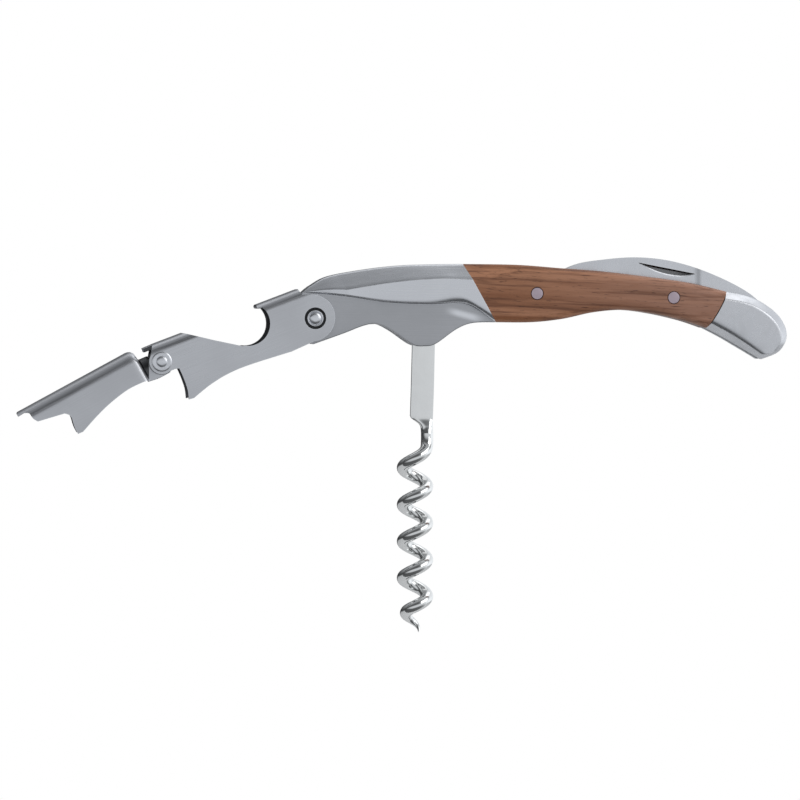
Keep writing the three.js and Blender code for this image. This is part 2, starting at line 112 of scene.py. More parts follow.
CREASE = [
    FRONT_SEAM_FOOT, (16.0, 77.9), (12.8, 79.8), (9.5, 80.4), (3.0, 80.1), (-7.2, 80.5), (-16.2, 81.8),
    (-22.5, 82.5), NOSE_TIP,
]
CURVE_STEPS = 8
SAME_POINT = 0.02
MOST_MITRE = 0.35
# further out than any side of the object, for the tools that cut right through it
BEYOND = 8.0


# ---------------------------------------------------------------- curves

def through(points, steps=CURVE_STEPS):
    """The uniform Catmull-Rom curve through the points, as a list of (x, z)."""
    curve = [tuple(points[0])]
    last = len(points) - 1
    for i in range(last):
        near = [points[max(0, min(last, j))] for j in range(i - 1, i + 3)]
        for k in range(1, steps + 1):
            curve.append(tuple(catmull_rom([p[axis] for p in near], k / steps) for axis in (0, 1)))
    return curve


def catmull_rom(values, t):
    before, start, end, after = values
    slope_in = (end - before) / 2
    slope_out = (after - start) / 2
    cubic = 2 * (start - end) + slope_in + slope_out
    square = 3 * (end - start) - 2 * slope_in - slope_out
    return ((cubic * t + square) * t + slope_in) * t + start


def quadratic(start, control, end, steps=CURVE_STEPS):
    def at(t, axis):
        return (1 - t) ** 2 * start[axis] + 2 * t * (1 - t) * control[axis] + t * t * end[axis]
    return [(at(i / steps, 0), at(i / steps, 1)) for i in range(steps + 1)]


def around(centre, radius, degrees):
    turn = math.radians(degrees)
    return centre[0] + radius * math.cos(turn), centre[1] + radius * math.sin(turn)


def arc(centre, radius, start, end, step=6.0):
    count = max(2, math.ceil(abs(end - start) / step))
    return [around(centre, radius, start + (end - start) * i / count) for i in range(count + 1)]


def resampled(curve, count):
    """The same curve as count + 1 points at even distances along it."""
    lengths = [0.0]
    for a, b in zip(curve, curve[1:]):
        lengths.append(lengths[-1] + math.dist(a, b))
    return [point_at(curve, lengths, lengths[-1] * i / count) for i in range(count + 1)]


def point_at(curve, lengths, target):
    for i in range(1, len(curve)):
        if lengths[i] >= target or i == len(curve) - 1:
            span = lengths[i] - lengths[i - 1]
            t = min(1.0, (target - lengths[i - 1]) / span) if span > 0 else 0.0
            return tuple(curve[i - 1][k] + t * (curve[i][k] - curve[i - 1][k]) for k in (0, 1))
    return curve[-1]


def cleaned(points):
    """The closed outline, counter-clockwise as seen from -Y, with no repeated points."""
    kept = []
    for point in points:
        if not kept or math.dist(point, kept[-1]) > SAME_POINT:
            kept.append(point)
    if math.dist(kept[0], kept[-1]) <= SAME_POINT:
        kept.pop()
    area = sum(a[0] * b[1] - b[0] * a[1] for a, b in zip(kept, kept[1:] + kept[:1]))
    return kept if area > 0 else kept[::-1]


def inset(points, depth):
    """A closed counter-clockwise outline moved inwards by a small depth."""
    moved = []
    for before, point, after in zip(points[-1:] + points[:-1], points, points[1:] + points[:1]):
        first = (Vector(point) - Vector(before)).normalized()
        second = (Vector(after) - Vector(point)).normalized()
        side = Vector((-first.y - second.y, first.x + second.x))
        square = max(MOST_MITRE, side.length_squared / 2)
        moved.append(tuple(Vector(point) + side * (depth / square)))
    return moved


# ---------------------------------------------------------------- meshes

SMOOTH_ANGLE = math.radians(32)
MERGED = 1e-7


def new_mesh(name, vertices, faces):
    """A mesh from millimetre points, with its normals facing out and its corners kept sharp."""
    mesh = bpy.data.meshes.new(name)
    mesh.from_pydata([tuple(c * MM for c in v) for v in vertices], [], faces)
    shape = bmesh.new()
    shape.from_mesh(mesh)
    bmesh.ops.remove_doubles(shape, verts=shape.verts, dist=MERGED)
    bmesh.ops.dissolve_degenerate(shape, edges=shape.edges, dist=MERGED)
    bmesh.ops.recalc_face_normals(shape, faces=shape.faces)
    shape.to_mesh(mesh)
    shape.free()
    return mesh


def smoothed(mesh, angle=SMOOTH_ANGLE):
    mesh.shade_smooth()
    mesh.set_sharp_from_angle(angle=angle)
    return mesh


def stacked(rings, close=False):
    """Faces between rings of equal length; the end rings are capped unless the stack is closed."""
    size = len(rings[0])
    vertices = [v for ring in rings for v in ring]
    faces = []
    last = len(rings) if close else len(rings) - 1
    for r in range(last):
        a, b = r * size, (r + 1) % len(rings) * size
        faces += [(a + i, a + (i + 1) % size, b + (i + 1) % size, b + i) for i in range(size)]
    if not close:
        faces.append(tuple(range(size))[::-1])
        faces.append(tuple(range((len(rings) - 1) * size, len(rings) * size)))
    return vertices, faces


def plate_mesh(name, points, y0, y1, edge=0.15):
    """A flat plate from y0 to y1 with rounded rims."""
    points = cleaned(points)
    quarter = [math.radians(a) for a in (0, 30, 60, 90)]
    rims = [(edge * (1 - math.sin(t)), y0 + edge * (1 - math.cos(t))) for t in quarter]
    rims += [(edge * (1 - math.sin(t)), y1 - edge * (1 - math.cos(t))) for t in reversed(quarter)]
    rings = [[(x, y, z) for x, z in inset(points, depth)] for depth, y in rims]
    return smoothed(new_mesh(name, *stacked(rings)))


def prism_mesh(name, points, y0, y1):
    rings = [[(x, y, z) for x, z in cleaned(points)] for y in (y0, y1)]
    return new_mesh(name, *stacked(rings))


def turned_mesh(name, centre, profile, sides=64):
    """A turned ring or button about a line along Y: the closed profile holds (radius, y)."""
    rings = []
    for i in range(sides):
        turn = 2 * math.pi * i / sides
        rings.append([
            (centre[0] + r * math.cos(turn), y, centre[1] + r * math.sin(turn)) for r, y in profile
        ])
    return smoothed(new_mesh(name, *stacked(rings, close=True)))


def with_modifier(mesh, kind, **settings):
    """The mesh as it is after one modifier, in place of the one before."""
    holder = bpy.data.objects.new("holder", mesh)
    bpy.context.scene.collection.objects.link(holder)
    modifier = holder.modifiers.new(kind, kind)
    for key, value in settings.items():
        setattr(modifier, key, value)
    evaluated = holder.evaluated_get(bpy.context.evaluated_depsgraph_get())
    result = bpy.data.meshes.new_from_object(evaluated)
    name = mesh.name
    bpy.data.objects.remove(holder)
    bpy.data.meshes.remove(mesh)
    result.name = name
    return result


def combined(mesh, other, operation):
    """The exact union, difference or intersection of two closed meshes."""
    tool = bpy.data.objects.new("tool", other)
    bpy.context.scene.collection.objects.link(tool)
    result = with_modifier(mesh, "BOOLEAN", operation=operation, solver="EXACT", object=tool)
    bpy.data.objects.remove(tool)
    return result


def softened(mesh, width, angle=30.0, segments=2):
    """The mesh with its corners rounded by width, in millimetres."""
    return with_modifier(
        mesh, "BEVEL", width=width * MM, segments=segments, limit_method="ANGLE",
        angle_limit=math.radians(angle), miter_outer="MITER_ARC", use_clamp_overlap=True)


def flat_faced(mesh, angle):
    """Smooth corners, with the normals of the large faces left square to them."""
    smoothed(mesh, math.radians(angle))
    return with_modifier(mesh, "WEIGHTED_NORMAL", mode="FACE_AREA", weight=100, keep_sharp=True)


def joined(name, *meshes, angle=50.0):
    shape = bmesh.new()
    for mesh in meshes:
        shape.from_mesh(mesh)
    result = bpy.data.meshes.new(name)
    shape.to_mesh(result)
    shape.free()
    return flat_faced(result, angle)


def mirrored(mesh, name):
    copy = mesh.copy()
    copy.name = name
    copy.transform(Matrix.Scale(-1, 4, (0, 1, 0)))
    copy.flip_normals()
    return copy


# ---------------------------------------------------------------- placing pieces

def place(mesh, body, material, slot, *nodes):
    """Shows a mesh as a piece that rides on a body, in place of the CAD nodes."""
    piece = bpy.data.objects.new(mesh.name, mesh)
    bpy.context.scene.collection.objects.link(piece)
    mesh.materials.clear()
    mesh.materials.append(material)
    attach(piece, body)
    if nodes:
        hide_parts(*nodes)


def place_pair(mesh, body, material, slot, node):
    """A left piece and its mirror image, each in place of its CAD node."""
    base = mesh.name
    mesh.name = f"{base}_left"
    place(mesh, body, material, slot, f"{node}_left")
    place(mirrored(mesh, f"{base}_right"), body, material, slot, f"{node}_right")


# ---------------------------------------------------------------- material nodes

# the near-black tone of painted shade
PAINTED_SHADE_TONE = 0.1
LENGTHWISE, ACROSS, UPWARDS = (1.0, 0.0, 0.0), (0.0, 1.0, 0.0), (0.0, 0.0, 1.0)
BOOT_CENTRE = (BOOT_PIVOT[0] * MM, 0.0, BOOT_PIVOT[1] * MM)
# the width of the painted shadow round the edge of the hinge ear
HINGE_SHADOW_WIDTH = 0.3
# where the painted highlight below the crease lies
SHEEN_CENTRE = (11.6 * MM, 0.0, 77.5 * MM)
SHEEN_TILT = math.radians(-15)
SHEEN_HALF_WIDTH = 1.3
SHEEN_HALF_LENGTH = 5.5
GRAIN_TILT = -0.05
# where the painted sheen on the wood grows towards the tail
TAIL_SHEEN_LENGTH = 55.0
TAIL_SHEEN_END = 75.0
STEEL_CAST = (0.98, 1.0, 1.05)
CHROME_CAST = (0.99, 1.0, 0.995)
LILAC_CAST = (1.1, 0.92, 1.04)
ROOM_CAST = (0.975, 1.0, 1.03)
WHITE = (1.0, 1.0, 1.0, 1.0)


class Nodes:
    """Short ways to add nodes to a tree."""

    def __init__(self, tree):
        self.tree = tree

    def add(self, kind, inputs=None, **settings):
        node = self.tree.nodes.new(kind)
        for key, value in settings.items():
            setattr(node, key, value)
        for key, value in (inputs or {}).items():
            self.join(value, node.inputs[key])
        return node

    def join(self, value, socket):
        if isinstance(value, bpy.types.NodeSocket):
            self.tree.links.new(value, socket)
        else:
            socket.default_value = value

    def mixed(self, factor, first, second):
        node = self.add("ShaderNodeMix", data_type="RGBA")
        for value, index in ((factor, 0), (first, 6), (second, 7)):
            self.join(value, node.inputs[index])
        return node.outputs[2]

    def calculated(self, operation, first, second):
        return self.add("ShaderNodeMath", {0: first, 1: second}, operation=operation).outputs[0]


class Finish(Nodes):
    """A material with the nodes of its colour, roughness and relief."""

    def __init__(self, name):
        self.material = bpy.data.materials.new(name)
        self.material.use_nodes = True
        super().__init__(self.material.node_tree)
        self.shader = self.tree.nodes["Principled BSDF"]
        coordinates = self.add("ShaderNodeTexCoord").outputs
        self.place, self.facing = coordinates["Object"], coordinates["Normal"]

    def stretched(self, scale, tilt=0.0):
        """Object coordinates turned by tilt about Y and scaled along each axis."""
        inputs = {"Vector": self.place, "Angle": tilt}
        turned = self.add("ShaderNodeVectorRotate", inputs, rotation_type="Y_AXIS")
        return self.scaled(turned.outputs[0], scale)

    def scaled(self, vector, scale):
        return self.add("ShaderNodeVectorMath", {0: vector, 1: scale}, operation="MULTIPLY").outputs[0]

    def noise(self, vector, detail=3.0, roughness=0.5, distortion=0.0):
        inputs = {
            "Vector": vector, "Scale": 1.0, "Detail": detail, "Roughness": roughness,
            "Distortion": distortion,
        }
        return self.add("ShaderNodeTexNoise", inputs).outputs["Fac"]

    def spread(self, value, low, high, from_low=0.3, from_high=0.7):
        limits = {"From Min": from_low, "From Max": from_high, "To Min": low, "To Max": high}
        inputs = {"Value": value, **limits}
        return self.add("ShaderNodeMapRange", inputs, interpolation_type="SMOOTHSTEP").outputs[0]

    def edges(self, reach=0.00035):
        """Up to 1 along corners, within reach of them, and 0 elsewhere."""
        rounded = self.add("ShaderNodeBevel", {"Radius": reach}, samples=6).outputs[0]
        plain = self.add("ShaderNodeNewGeometry").outputs["Normal"]
        return self.spread(self.along(rounded, plain), 1.0, 0.0, 0.86, 0.99)

    def along(self, vector, direction):
        """How far a vector reaches in a direction."""
        node = self.add("ShaderNodeVectorMath", {0: vector, 1: direction}, operation="DOT_PRODUCT")
        return node.outputs["Value"]

    def away_from(self, centre):
        """The way from a centre to the place."""
        return self.add("ShaderNodeVectorMath", {0: self.place, 1: centre}, operation="SUBTRACT").outputs[0]

    def size(self, value):
        return self.calculated("ABSOLUTE", value, 0.0)

    def before(self, value, limit, blur):
        """1 below a limit in millimetres, falling to 0 over the blur that ends there."""
        return self.spread(value, 1.0, 0.0, (limit - blur) * MM, limit * MM)

    def after(self, value, limit, blur):
        return self.spread(value, 0.0, 1.0, (limit - blur) * MM, limit * MM)

    def product(self, first, *others):
        for other in others:
            first = self.calculated("MULTIPLY", first, other)
        return first

    def bumped(self, height, strength, distance):
        inputs = {"Height": height, "Strength": strength, "Distance": distance}
        return self.add("ShaderNodeBump", inputs).outputs[0]

    def finished(self, **values):
        for key, value in values.items():
            self.join(value, self.shader.inputs[key.replace("_", " ")])
        return self.material


def tinted(tone, cast=STEEL_CAST, brightest=0.98):
    """A grey of that tone with a faint colour cast."""
    return tuple(min(brightest, tone * c) for c in cast) + (1.0,)


def lengthwise_at(tilt):
    return math.cos(tilt), 0.0, math.sin(tilt)


def upwards_at(tilt):
    return -math.sin(tilt), 0.0, math.cos(tilt)


def painted_shade_inside(tilt, skin):
    """Painted shade on the inside of a folded channel: under its skin, but neither its back nor its ends.
    """
    def share(f):
        depth = f.size(f.along(f.place, ACROSS))
        upward = f.along(f.facing, upwards_at(tilt))
        endward = f.size(f.along(f.facing, lengthwise_at(tilt)))
        return f.product(
            f.before(depth, skin, 0.15), f.spread(upward, 1.0, 0.0, 0.15, 0.35),
            f.spread(endward, 1.0, 0.0, 0.6, 0.8))
    return share


def painted_shade_neck(tilt, skin):
    """Painted shade on the inside as well as on the pressed neck, and a thin ring of painted shadow round
    the hinge.
    """
    inside = painted_shade_inside(tilt, skin)
    direction = lengthwise_at(tilt)
    start = Vector((NECK_DARK[0], 0.0, NECK_DARK[1])).dot(Vector(direction))

    def share(f):
        neck = f.after(f.along(f.place, direction), start, 0.15)
        both = f.calculated("MAXIMUM", neck, inside(f))
        beside = f.product(both, f.before(f.along(f.place, LENGTHWISE), NECK_END, 0.2))
        flat = f.scaled(f.away_from(BOOT_CENTRE), (1.0, 0.0, 1.0))
        away = f.add("ShaderNodeVectorMath", {0: flat}, operation="LENGTH").outputs["Value"]
        # a painted shadow round the edge of the hinge ear, where it lies on the arm
        hinge_shadow = f.product(f.before(away, BOOT_EAR_R + HINGE_SHADOW_WIDTH, 0.25), 0.7)
        return f.calculated("MAXIMUM", beside, hinge_shadow)
    return share


def painted_shade_nick(f):
    """Painted shade in the nail nick, sunk in the right face, and a faint painted shade along the plunge
    line.
    """
    lengthwise, depth, height = (f.along(f.place, way) for way in (LENGTHWISE, ACROSS, UPWARDS))
    # painted shade in the nail nick
    sunk = f.product(
        f.after(depth, 0.12 - BLADE_HALF, 0.08), f.before(depth, 0.0, 0.2), f.after(height, NICK_FOOT, 0.2),
        f.after(lengthwise, NICK_TOP[0][0] - 1.0, 0.5),
        f.spread(f.along(f.facing, UPWARDS), 1.0, 0.0, 0.6, 0.8))
    # painted shade along the plunge line
    plunge = f.product(f.after(lengthwise, PLUNGE_X, 1.4), f.before(lengthwise, PLUNGE_X + 1.0, 1.0), 0.4)
    return f.calculated("MAXIMUM", sunk, plunge)


def painted_sheen_streak(f):
    """A painted highlight: a soft bright streak below the crease, close to the wood."""
    offset = f.away_from(SHEEN_CENTRE)
    across = f.size(f.along(offset, upwards_at(SHEEN_TILT)))
    along = f.size(f.along(offset, lengthwise_at(SHEEN_TILT)))
    return f.product(f.before(across, SHEEN_HALF_WIDTH, 1.2), f.before(along, SHEEN_HALF_LENGTH, 4.0))


def brushed_metal(name, tone, roughness, tilt=0.0, grain=1.0, clouding=0.1, wear=0.5,
                  painted_light=None, painted_light_tone=PAINTED_SHADE_TONE):
    """Steel with fine brush lines along its length, faint clouding and bright worn corners. Painted light,
    if given, is a mask with a tone of its own, for painted shade or a painted highlight."""
    f = Finish(name)
    lines = f.noise(f.stretched((90.0, 4200.0, 4200.0), tilt), detail=2.0, roughness=0.6)
    clouds = f.noise(f.stretched((60.0, 60.0, 60.0)))
    worn = f.edges()
    colour = f.mixed(f.spread(lines, 0.0, grain), tinted(tone * 0.94), tinted(tone * 1.05))
    colour = f.mixed(f.spread(clouds, 0.0, 0.5), colour, tinted(tone * (1 - clouding)))
    colour = f.mixed(f.product(worn, wear), colour, tinted(tone * 1.3))
    # painted shade or a painted highlight, mixed over the steel's own colour
    if painted_light:
        colour = f.mixed(painted_light(f), colour, tinted(painted_light_tone))
    cloudy = f.spread(clouds, roughness - 0.03, roughness + 0.04)
    rough = f.calculated("ADD", f.spread(lines, -0.05, 0.05), cloudy)
    rough = f.calculated("SUBTRACT", rough, f.product(worn, roughness * 0.8 * wear))
    return f.finished(
        Base_Color=colour, Roughness=rough, Metallic=1.0, Anisotropic=0.35,
        Normal=f.bumped(lines, 0.12 * grain, 0.00002))


def polished_metal(name, tone, roughness, cast=STEEL_CAST):
    """Steel with a polish that shows faint smudges and hairline scratches."""
    f = Finish(name)
    smudges = f.noise(f.stretched((220.0, 220.0, 220.0)), detail=5.0, roughness=0.6, distortion=0.8)
    hairs = f.noise(f.stretched((300.0, 5200.0, 5200.0), 0.35), detail=1.0)
    colour = f.mixed(f.spread(smudges, 0.0, 0.5), tinted(tone, cast), tinted(tone * 0.93, cast))
    smudged = f.spread(smudges, roughness * 0.8, roughness * 1.35)
    rough = f.calculated("ADD", smudged, f.spread(hairs, 0.0, 0.03))
    return f.finished(
        Base_Color=colour, Roughness=rough, Metallic=1.0, Normal=f.bumped(hairs, 0.04, 0.00001))


def oiled_wood(name):
    """Brown hardwood: long soft bands, dark streaks and short open pores along the grain, with a painted
    pale sheen towards the tail."""
    f = Finish(name)
    bands = f.noise(f.stretched((14.0, 260.0, 330.0), GRAIN_TILT), 3.0, 0.55, 0.35)
    streaks = f.noise(f.stretched((38.0, 700.0, 900.0), GRAIN_TILT), 4.0, 0.6, 0.2)
    pores = f.noise(f.stretched((420.0, 5200.0, 5200.0), GRAIN_TILT), detail=2.0)
    fine = f.noise(f.stretched((160.0, 2600.0, 2600.0), GRAIN_TILT), roughness=0.65)
    light, middle = (0.61, 0.28, 0.15, 1.0), (0.36, 0.14, 0.06, 1.0)
    dark, deepest, sheen_tone = (0.13, 0.045, 0.019, 1.0), (0.05, 0.018, 0.009, 1.0), (0.56, 0.31, 0.23, 1.0)
    colour = f.mixed(f.spread(bands, 0.0, 1.0, 0.34, 0.64), light, middle)
    # a painted pale sheen that grows towards the tail
    tail_sheen = f.after(f.along(f.place, LENGTHWISE), TAIL_SHEEN_END, TAIL_SHEEN_LENGTH)
    colour = f.mixed(f.product(tail_sheen, 0.6), colour, sheen_tone)
    colour = f.mixed(f.spread(streaks, 0.0, 0.7, 0.48, 0.66), colour, dark)
    colour = f.mixed(f.spread(fine, 0.0, 0.35, 0.4, 0.7), colour, middle)
    colour = f.mixed(f.spread(pores, 0.0, 0.8, 0.62, 0.74), colour, deepest)
    relief = f.calculated("SUBTRACT", fine, f.spread(pores, 0.0, 1.5, 0.64, 0.8))
    return f.finished(
        Base_Color=colour, Roughness=f.spread(streaks, 0.46, 0.6), Coat_Weight=0.06,
        Coat_Roughness=0.3, Normal=f.bumped(relief, 0.25, 0.00006))


def pale_paper(name):
    """The floor's even pale card."""
    f = Finish(name)
    fibres = f.noise(f.stretched((400.0, 400.0, 400.0)), detail=4.0)
    return f.finished(
        Base_Color=f.mixed(fibres, (0.86, 0.86, 0.86, 1), (0.92, 0.92, 0.92, 1)), Roughness=0.9,
        Emission_Color=WHITE, Emission_Strength=0.1)


# ---------------------------------------------------------------- side pieces of the handle

def round_rim(width, drop, count=8):
    """(distance from the edge, fall below the face) round a quarter of an ellipse."""
    turns = [math.pi / 2 * i / count for i in range(count + 1)]
    return [(width * (1 - math.cos(t)), drop * (1 - math.sin(t))) for t in turns]


def steady(rim):
    """The same rim all along a piece."""
    return lambda share: rim


def changing(first, second, start, end):
    """A rim that turns from the first shape into the second between two shares of the length."""
    def rim(share):
        t = min(1.0, max(0.0, (share - start) / (end - start)))
        t = t * t * (3 - 2 * t)
        return [tuple(p + (q - p) * t for p, q in zip(a, b)) for a, b in zip(first, second)]
    return rim


def side_mesh(name, low, high, low_rim, high_rim, start_side=None, end_side=None, *,
              foot, columns=110, middle=6, crown=0.0, inner=LINER_OUT, face=GRIP_OUT, shares=(0.48, 0.48)):
    """A side piece between a low and a high curve, its face rounded off at both rims.
    Where the curves meet, the face sinks to foot. A curved end is given as start_side or end_side.
    In a short column the low and the high rim take at most their shares of its length."""
    lows, highs = resampled(low, columns), resampled(high, columns)
    outer, inner_rings = [], []
    for i in range(columns + 1):
        share = i / columns
        rims = low_rim(share), high_rim(share)
        column, heights = side_column(lows[i], highs[i], rims, shares, middle, foot, face, crown)
        points = [bowed(p, v, share, lows, highs, start_side, end_side) for p, v in column]
        outer.append([(x, y, z) for (x, z), y in zip(points, heights)])
        inner_rings.append([(x, inner, z) for x, z in points])
    return smoothed(new_mesh(name, *sheet_pair(outer, inner_rings)))


def side_column(low, high, rims, shares, middle, foot, face, crown):
    """One column of a side piece: its (point, share of the way up) list and its heights."""
    length = math.dist(low, high)
    low_fit, high_fit = (min(1.0, share * length / rim[-1][0]) for rim, share in zip(rims, shares))
    fit = min(low_fit, high_fit)
    falls = [(d * low_fit, fall) for d, fall in rims[0]]
    gap_start, gap_end = rims[0][-1][0] * low_fit, length - rims[1][-1][0] * high_fit
    falls += [(gap_start + (gap_end - gap_start) * k / (middle + 1), 0.0) for k in range(1, middle + 1)]
    falls += [(length - d * high_fit, fall) for d, fall in reversed(rims[1])]
    column, heights = [], []
    for d, fall in falls:
        v = d / length if length > 0 else 0.0
        column.append(((low[0] + v * (high[0] - low[0]), low[1] + v * (high[1] - low[1])), v))
        height = face - fall - crown * (2 * v - 1) ** 2
        heights.append(foot + (height - foot) * fit)
    return column, heights


def bowed(point, v, share, lows, highs, start_side, end_side):
    """The point moved so that the ends of the piece follow their curved sides."""
    x, z = point
    for side, index, weight in ((start_side, 0, 1 - share), (end_side, -1, share)):
        if side is None:
            continue
        curve = resampled(side, 40)
        place_on = curve[0] if v <= 0 else curve[-1] if v >= 1 else between(curve, v)
        straight = [lows[index][k] + v * (highs[index][k] - lows[index][k]) for k in (0, 1)]
        x += weight ** 2 * (place_on[0] - straight[0])
        z += weight ** 2 * (place_on[1] - straight[1])
    return x, z


def between(curve, v):
    spot = v * (len(curve) - 1)
    i = min(int(spot), len(curve) - 2)
    return tuple(curve[i][k] + (spot - i) * (curve[i + 1][k] - curve[i][k]) for k in (0, 1))


def sheet_pair(outer, inner):
    """A closed body between two sheets of points of the same size."""
    rows, size = len(outer), len(outer[0])
    vertices = [v for row in outer for v in row] + [v for row in inner for v in row]
    back = rows * size
    faces = []
    for r in range(rows - 1):
        for c in range(size - 1):
            quad = (r * size + c, (r + 1) * size + c, (r + 1) * size + c + 1, r * size + c + 1)
            faces.append(quad)
            faces.append(tuple(back + i for i in reversed(quad)))
    border = [r * size for r in range(rows)] + [(rows - 1) * size + c for c in range(1, size)]
    border += [r * size + size - 1 for r in range(rows - 2, -1, -1)] + list(range(size - 2, 0, -1))
    for a, b in zip(border, border[1:] + border[:1]):
        faces.append((b, a, back + a, back + b))
    return vertices, faces


# rims as (distance from the edge, fall below the face)
SHOULDER = [
    (0.0, 3.4), (0.08, 3.1), (0.25, 2.85), (0.5, 2.62), (1.9, 1.66), (3.35, 0.64), (4.2, 0.04), (4.3, 0.0),
    (4.6, 0.0),
]
FINE_STEP = [(0.0, 1.9), (0.05, 1.2), (0.12, 0.5), (0.22, 0.2), (0.34, 0.06), (0.5, 0.0)]
BROAD_STEP = [
    (0.0, 1.9), (0.03, 1.1), (0.08, 0.72), (0.2, 0.58), (0.6, 0.36), (1.0, 0.18), (1.35, 0.06), (1.7, 0.0),
]
TAIL_CHAMFER = [
    (0.0, 2.6), (0.25, 2.1), (0.5, 1.62), (1.2, 0.62), (1.35, 0.42), (1.55, 0.27), (1.8, 0.15), (2.2, 0.05),
    (2.8, 0.0),
]
TAIL_CROWN = [
    (0.0, 2.7), (0.25, 2.25), (0.6, 1.75), (1.0, 1.24), (1.4, 0.76), (1.75, 0.36), (2.02, 0.05),
    (2.15, 0.0), (2.6, 0.0),
]


def make_front_bolsters(cheek_metal, raised_metal):
    """The recessed cheek and the raised part with a sloping shoulder over it."""
    crease = through(CREASE)[::-1]
    cheek = side_mesh(
        "front_cheek", through(BELLY_FRONT)[::-1], crease, steady(round_rim(0.25, 0.25)),
        steady([(0.0, 0.0), (0.3, 0.0)]), start_side=through(NOSE_ARC), foot=CHEEK_OUT, face=CHEEK_OUT)
    raised = side_mesh(
        "front_shoulder", crease, through(BACK_FRONT), changing(FINE_STEP, BROAD_STEP, 0.6, 0.85),
        steady(SHOULDER), foot=CHEEK_OUT - 0.2, face=GRIP_OUT, columns=130, shares=(0.2, 0.72))
    place_pair(cheek, "handle", cheek_metal, "bolster_steel", "front_bolster")
    place_pair(raised, "handle", raised_metal, "bolster_steel", "front_bolster")


def make_scales(wood):
    seam = quadratic(REAR_SEAM_FOOT, REAR_SEAM_BEND, REAR_SEAM_TOP)
    mesh = side_mesh(
        "scale", through(BELLY_WOOD)[::-1], through(BACK_WOOD), steady(round_rim(1.9, 1.7)),
        changing(SHOULDER, round_rim(1.8, 1.7), 0.0, 0.3), end_side=[(x - SEAM_GAP, z) for x, z in seam],
        foot=WOOD_OUT, face=WOOD_OUT, crown=0.3)
    drill = [(0.0, 0.0), (PIN_HOLE_R, 0.0), (PIN_HOLE_R, BEYOND), (0.0, BEYOND)]
    for node in ("scale_pin_front", "scale_pin_rear"):
        mesh = combined(mesh, turned_mesh("drill", axis_of(node), drill), "DIFFERENCE")
    place_pair(smoothed(mesh), "handle", wood, "wood", "scale")


def make_rear_bolsters(metal):
    seam = quadratic(REAR_SEAM_FOOT, REAR_SEAM_BEND, REAR_SEAM_TOP)
    mesh = side_mesh(
        "rear_bolster", through(BELLY_TAIL)[::-1], through(BACK_TAIL), steady(TAIL_CHAMFER),
        steady(TAIL_CROWN), start_side=seam, foot=GRIP_OUT - 2.4, crown=0.1)
    place_pair(mesh, "handle", metal, "polished_steel", "rear_bolster")


# ---------------------------------------------------------------- the handle's core

def handle_outline():
    curves = [BACK_FRONT, BACK_WOOD, BACK_TAIL, BELLY_TAIL, BELLY_WOOD, BELLY_FRONT, NOSE_ARC]
    return [p for curve in curves for p in through(curve)]


def make_liners(metal):
    mesh = plate_mesh("liner", handle_outline(), SLOT_HALF, LINER_OUT, 0.12)
    place_pair(mesh, "handle", metal, "liner_steel", "liner")


def make_nose_spacer(metal):
    points = through(BACK_FRONT) + [(11.3, 84.0), (-3.5, 81.5)]
    points += through([(-9.6, 75.3), (-13.0, 74.9), (-18.0, 73.0), NOSE_CORNER]) + through(NOSE_ARC)
    mesh = plate_mesh("nose_spacer", points, -SLOT_HALF, SLOT_HALF, 0.1)
    place(mesh, "handle", metal, "liner_steel", "nose_spacer")


def make_back_spring(metal):
    under = [
        (-1.5, 79.2), (2.2, 78.2), (8.0, 77.2), (22.0, 76.6), (36.0, 77.3), (47.0, 79.1), (57.0, 78.6),
        (74.0, 74.0),
    ]
    top = [
        (78.6, 75.6), (72.0, 77.7), (63.0, 79.9), (56.0, 81.4), (46.0, 82.9), (36.0, 83.8), (29.2, 84.9),
        (20.0, 84.4),
    ]
    points = through(under) + [(78.0, 72.4)] + through(top) + through([top[-1], (10.0, 82.0), (-0.6, 81.2)])
    mesh = plate_mesh("back_spring", points, -SPRING_HALF, SPRING_HALF, 0.15)
    place(mesh, "handle", metal, "spring_steel", "back_spring")


def flush_pin(name, node, metal, slot):
    """A pin through the handle, its ends ground level with the wood and just broken at the rim."""
    centre = axis_of(node)
    radius = (high_corner(node).x - low_corner(node).x) / 2
    end = high_corner(node).y
    cap = [(0.0, end), (radius * 0.7, end - 0.02), (radius - 0.12, end - 0.05), (radius, end - 0.2)]
    profile = [(r, -y) for r, y in cap] + cap[::-1]
    place(turned_mesh(name, centre, profile), "handle", metal, slot, node)


def keep_hidden_pins(metal):
    for name in ("worm_pivot_pin", "blade_pivot_pin", "back_spring_pin"):
        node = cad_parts[name]
        node.data.materials.clear()
        node.data.materials.append(metal)


